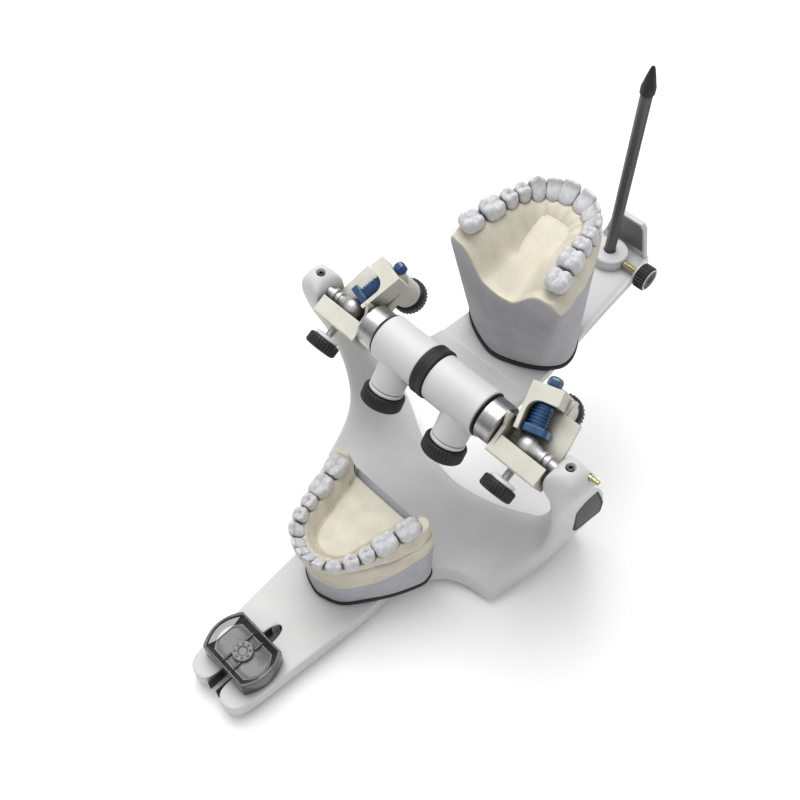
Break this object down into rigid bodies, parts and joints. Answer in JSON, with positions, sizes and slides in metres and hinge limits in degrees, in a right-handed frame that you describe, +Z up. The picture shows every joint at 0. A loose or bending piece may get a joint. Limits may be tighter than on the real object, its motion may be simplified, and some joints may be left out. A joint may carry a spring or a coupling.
{
  "type": "dental articulator",
  "caption": "Dental articulator with condylar guidance, incisal pin and table, and stone casts of both jaws, its upper member folded back.",
  "frame": {"origin": "on the floor under the middle of the object's box", "axes": "X along the hinge axis, -Y towards the incisal table at the front, +Z up"},
  "size_m": [0.1756, 0.2984, 0.218],
  "materials": {
    "white_paint": "smooth satin white paint",
    "rubber": "matt black rubber",
    "pad_rubber": "dark grey rubber",
    "black_plastic": "black knurled plastic",
    "white_plastic": "white plastic",
    "cream_plastic": "cream moulded plastic",
    "blue_plastic": "glossy blue plastic",
    "steel": "turned steel",
    "dark_steel": "blackened steel",
    "brass": "turned brass",
    "smoked_plastic": "clear to smoky plastic",
    "grey_stone": "grey gypsum stone",
    "cream_plaster": "cream gypsum plaster",
    "tooth_stone": "pale stone teeth"
  },
  "bodies": {
    "lower_member": {"lower_frame": "white_paint", "foot_front_left": "rubber", "foot_front_right": "rubber", "foot_rear_left": "rubber", "foot_rear_right": "rubber", "rest_pad_left": "pad_rubber", "rest_pad_right": "pad_rubber", "condyle_pin_left": "steel", "condyle_pin_right": "steel", "pin_set_screw_left": "dark_steel", "pin_set_screw_right": "dark_steel", "axis_pin": "brass", "lower_magnet": "steel", "lower_mounting_plate": "rubber", "lower_mounting_stone": "grey_stone", "lower_cast": "cream_plaster", "lower_teeth": "tooth_stone"},
    "upper_member": {"upper_frame": "white_paint", "centre_ring": "rubber", "stub_shaft_left": "steel", "stub_shaft_right": "steel", "tube_end_seal_left": "rubber", "tube_end_seal_right": "rubber", "upper_magnet": "steel", "upper_mounting_plate": "rubber", "upper_mounting_stone": "grey_stone", "upper_cast": "cream_plaster", "upper_teeth": "tooth_stone"},
    "table_slider": {"incisal_table": "smoked_plastic", "table_clamp_bolt": "steel"},
    "table_nut": {"table_clamp_nut": "smoked_plastic"},
    "pin_rod": {"incisal_pin": "dark_steel", "incisal_pin_tip": "black_plastic"},
    "pin_lock": {"pin_lock_screw": "brass", "pin_lock_collar": "white_plastic", "pin_lock_knob": "black_plastic"},
    "tube_clamp_left": {"tube_knob_collar_left": "white_plastic", "tube_knob_left": "black_plastic"},
    "guide_left": {"housing_left": "cream_plastic"},
    "bennett_left": {"bennett_block_left": "cream_plastic"},
    "insert_left": {"protrusion_insert_left": "blue_plastic"},
    "key_left": {"protrusion_key_left": "blue_plastic"},
    "front_screw_left": {"front_knob_stud_left": "steel", "front_knob_disc_left": "white_plastic", "front_knob_left": "black_plastic"},
    "back_screw_left": {"back_knob_disc_left": "white_plastic", "back_knob_left": "black_plastic"},
    "tube_clamp_right": {"tube_knob_collar_right": "white_plastic", "tube_knob_right": "black_plastic"},
    "guide_right": {"housing_right": "cream_plastic"},
    "bennett_right": {"bennett_block_right": "cream_plastic"},
    "insert_right": {"protrusion_insert_right": "blue_plastic"},
    "key_right": {"protrusion_key_right": "blue_plastic"},
    "front_screw_right": {"front_knob_stud_right": "steel", "front_knob_disc_right": "white_plastic", "front_knob_right": "black_plastic"},
    "back_screw_right": {"back_knob_disc_right": "white_plastic", "back_knob_right": "black_plastic"}
  },
  "joints": [
    {"name": "condylar_hinge", "type": "hinge", "parent": "lower_member", "child": "upper_member", "pos_m": [0, 0.0027, 0.122], "axis": [1, 0, 0], "range_deg": [0, 180]},
    {"name": "table_slide", "type": "slide", "parent": "lower_member", "child": "table_slider", "axis": [0, 1, 0], "range_m": [-0.012, 0.019]},
    {"name": "table_nut_turn", "type": "hinge", "parent": "table_slider", "child": "table_nut", "pos_m": [0, -0.1271, 0.0216], "axis": [0, 0, 1], "range_deg": [0, 360]},
    {"name": "pin_slide", "type": "slide", "parent": "upper_member", "child": "pin_rod", "axis": [0, 0, 1], "range_m": [-0.02, 0]},
    {"name": "pin_lock_turn", "type": "hinge", "parent": "upper_member", "child": "pin_lock", "pos_m": [0.02, 0.133, 0.1034], "axis": [1, 0, 0], "range_deg": [0, 360]},
    {"name": "tube_clamp_turn_left", "type": "hinge", "parent": "upper_member", "child": "tube_clamp_left", "pos_m": [-0.02, 0.0027, 0.122], "axis": [0, -0.5299, -0.848], "range_deg": [0, 360]},
    {"name": "inclination_left", "type": "hinge", "parent": "upper_member", "child": "guide_left", "pos_m": [-0.05, 0.0027, 0.122], "axis": [1, 0, 0], "range_deg": [-30, 30]},
    {"name": "bennett_turn_left", "type": "hinge", "parent": "guide_left", "child": "bennett_left", "pos_m": [-0.055, 0.0027, 0.122], "axis": [0, 0.5, -0.866], "range_deg": [-15, 5]},
    {"name": "insert_slide_left", "type": "slide", "parent": "bennett_left", "child": "insert_left", "axis": [0.2588, 0.8365, 0.483], "range_m": [0, 0.003]},
    {"name": "key_turn_left", "type": "hinge", "parent": "bennett_left", "child": "key_left", "pos_m": [-0.055, 0.0027, 0.122], "axis": [0.2588, 0.8365, 0.483], "range_deg": [0, 720]},
    {"name": "front_screw_turn_left", "type": "hinge", "parent": "guide_left", "child": "front_screw_left", "pos_m": [-0.056, 0.0027, 0.122], "axis": [0, -0.866, -0.5], "range_deg": [0, 360]},
    {"name": "back_screw_turn_left", "type": "hinge", "parent": "guide_left", "child": "back_screw_left", "pos_m": [-0.05, 0.02167, 0.13295], "axis": [0, 0.5, -0.866], "range_deg": [0, 360]},
    {"name": "tube_clamp_turn_right", "type": "hinge", "parent": "upper_member", "child": "tube_clamp_right", "pos_m": [0.02, 0.0027, 0.122], "axis": [0, -0.5299, -0.848], "range_deg": [0, 360]},
    {"name": "inclination_right", "type": "hinge", "parent": "upper_member", "child": "guide_right", "pos_m": [0.05, 0.0027, 0.122], "axis": [1, 0, 0], "range_deg": [-30, 30]},
    {"name": "bennett_turn_right", "type": "hinge", "parent": "guide_right", "child": "bennett_right", "pos_m": [0.055, 0.0027, 0.122], "axis": [0, -0.5, 0.866], "range_deg": [-15, 5]},
    {"name": "insert_slide_right", "type": "slide", "parent": "bennett_right", "child": "insert_right", "axis": [-0.2588, 0.8365, 0.483], "range_m": [0, 0.003]},
    {"name": "key_turn_right", "type": "hinge", "parent": "bennett_right", "child": "key_right", "pos_m": [0.055, 0.0027, 0.122], "axis": [-0.2588, 0.8365, 0.483], "range_deg": [0, 720]},
    {"name": "front_screw_turn_right", "type": "hinge", "parent": "guide_right", "child": "front_screw_right", "pos_m": [0.056, 0.0027, 0.122], "axis": [0, -0.866, -0.5], "range_deg": [0, 360]},
    {"name": "back_screw_turn_right", "type": "hinge", "parent": "guide_right", "child": "back_screw_right", "pos_m": [0.05, 0.02167, 0.13295], "axis": [0, 0.5, -0.866], "range_deg": [0, 360]}
  ],
  "couplings": [
    {"joint": "key_turn_left", "follows": "insert_slide_left", "rad_per_m": 4188.8},
    {"joint": "key_turn_right", "follows": "insert_slide_right", "rad_per_m": 4188.8}
  ]
}
